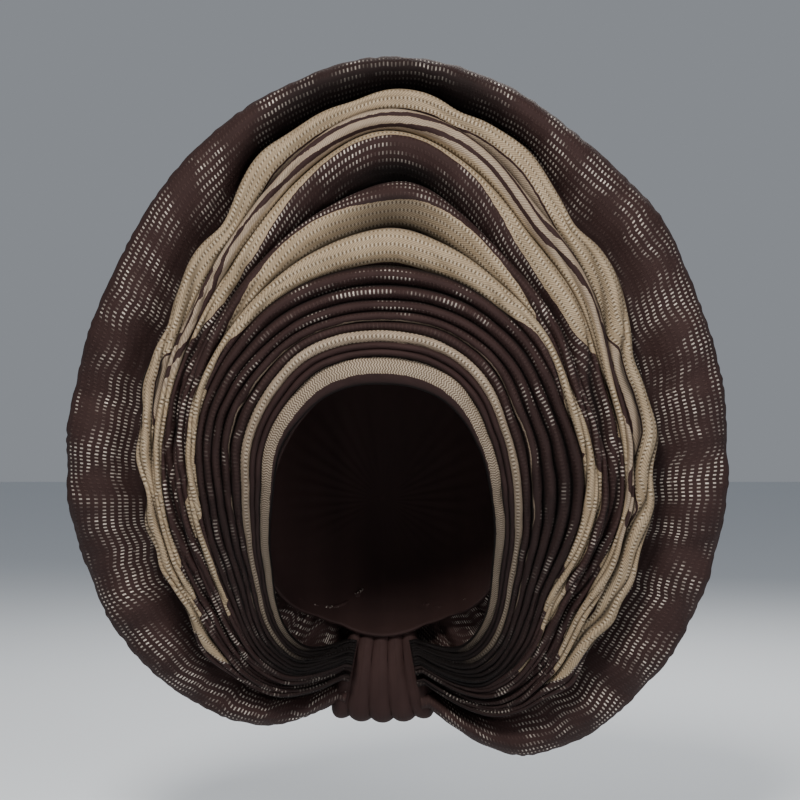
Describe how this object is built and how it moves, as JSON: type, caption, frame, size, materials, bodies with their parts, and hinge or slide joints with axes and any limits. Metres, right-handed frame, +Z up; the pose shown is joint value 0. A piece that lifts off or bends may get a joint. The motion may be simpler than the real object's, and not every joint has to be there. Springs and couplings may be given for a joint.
{
  "type": "tied gele head tie",
  "caption": "Tied gele head tie of striped hand-woven cloth, pleated in arches round an open face, with a wide ruffled brim and a knot at the nape.",
  "frame": {"origin": "inside top of the crown, where the head tie sits on the top of the head", "axes": "+Z up along the worn head's axis, the face opening looks along -Y, +X is to the viewer's right"},
  "size_m": [0.3975, 0.1911, 0.428],
  "materials": {
    "dark_cloth": "satin",
    "cream_cloth": "satin"
  },
  "bodies": {
    "root": {"crown": "dark_cloth", "hem_band": "cream_cloth", "pleat_1": "dark_cloth", "pleat_2": "dark_cloth", "stripe_pleat": "cream_cloth", "pleat_3": "dark_cloth", "pleat_4": "dark_cloth", "pleat_5": "dark_cloth", "pleat_6": "dark_cloth", "pleat_7": "dark_cloth", "lower_cream_fold": "cream_cloth", "middle_fold": "dark_cloth", "dark_peak_fold": "dark_cloth", "inner_stripe_fold": "cream_cloth", "outer_stripe_fold": "cream_cloth", "brim": "dark_cloth", "back_knot": "dark_cloth"}
  },
  "joints": []
}
